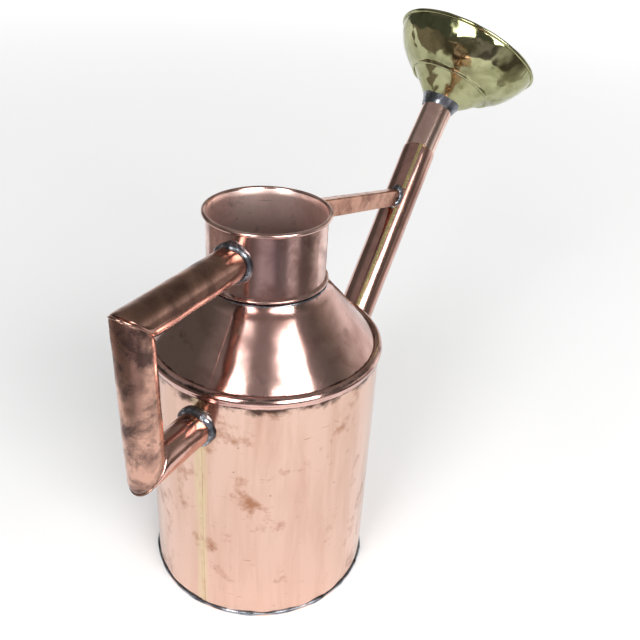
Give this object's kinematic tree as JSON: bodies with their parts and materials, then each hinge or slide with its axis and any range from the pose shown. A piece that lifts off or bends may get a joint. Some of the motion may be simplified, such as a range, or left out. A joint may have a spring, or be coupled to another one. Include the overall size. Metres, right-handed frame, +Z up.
{
  "type": "watering can",
  "caption": "Copper watering can with a wide filling neck, a square bent tube handle, a long braced spout and a lift-out brass rose.",
  "frame": {"origin": "centre of the underside of the base", "axes": "+Z up along the can's axis, +X towards the spout, the handle on -X"},
  "size_m": [0.5894, 0.1844, 0.4207],
  "materials": {
    "copper": "polished copper sheet",
    "brass": "polished",
    "solder": "dull tin solder"
  },
  "bodies": {
    "can": {"base_plate": "copper", "base_solder": "solder", "body_wall": "copper", "body_seam": "brass", "shoulder": "copper", "shoulder_solder": "solder", "shoulder_seam": "brass", "neck_collar": "copper", "rim_wire": "copper", "neck_solder": "solder", "neck_seam": "brass", "handle_grip": "copper", "handle_leg": "copper", "handle_stub": "copper", "knee_braze_upper": "brass", "knee_braze_lower": "brass", "grip_solder": "solder", "stub_solder": "solder", "spout_tube": "copper", "spout_solder": "solder", "spout_seam": "brass", "stay_bar": "copper", "stay_neck_solder": "solder", "stay_spout_solder": "solder"},
    "rose": {"rose_stem": "copper", "rose_solder": "solder", "rose_cone": "brass", "rose_bowl": "brass", "rose_rim": "brass", "rose_face": "brass"}
  },
  "joints": [
    {"name": "rose_lift_out", "type": "slide", "parent": "can", "child": "rose", "axis": [0.6845, 0, 0.729], "range_m": [0, 0.06]}
  ]
}
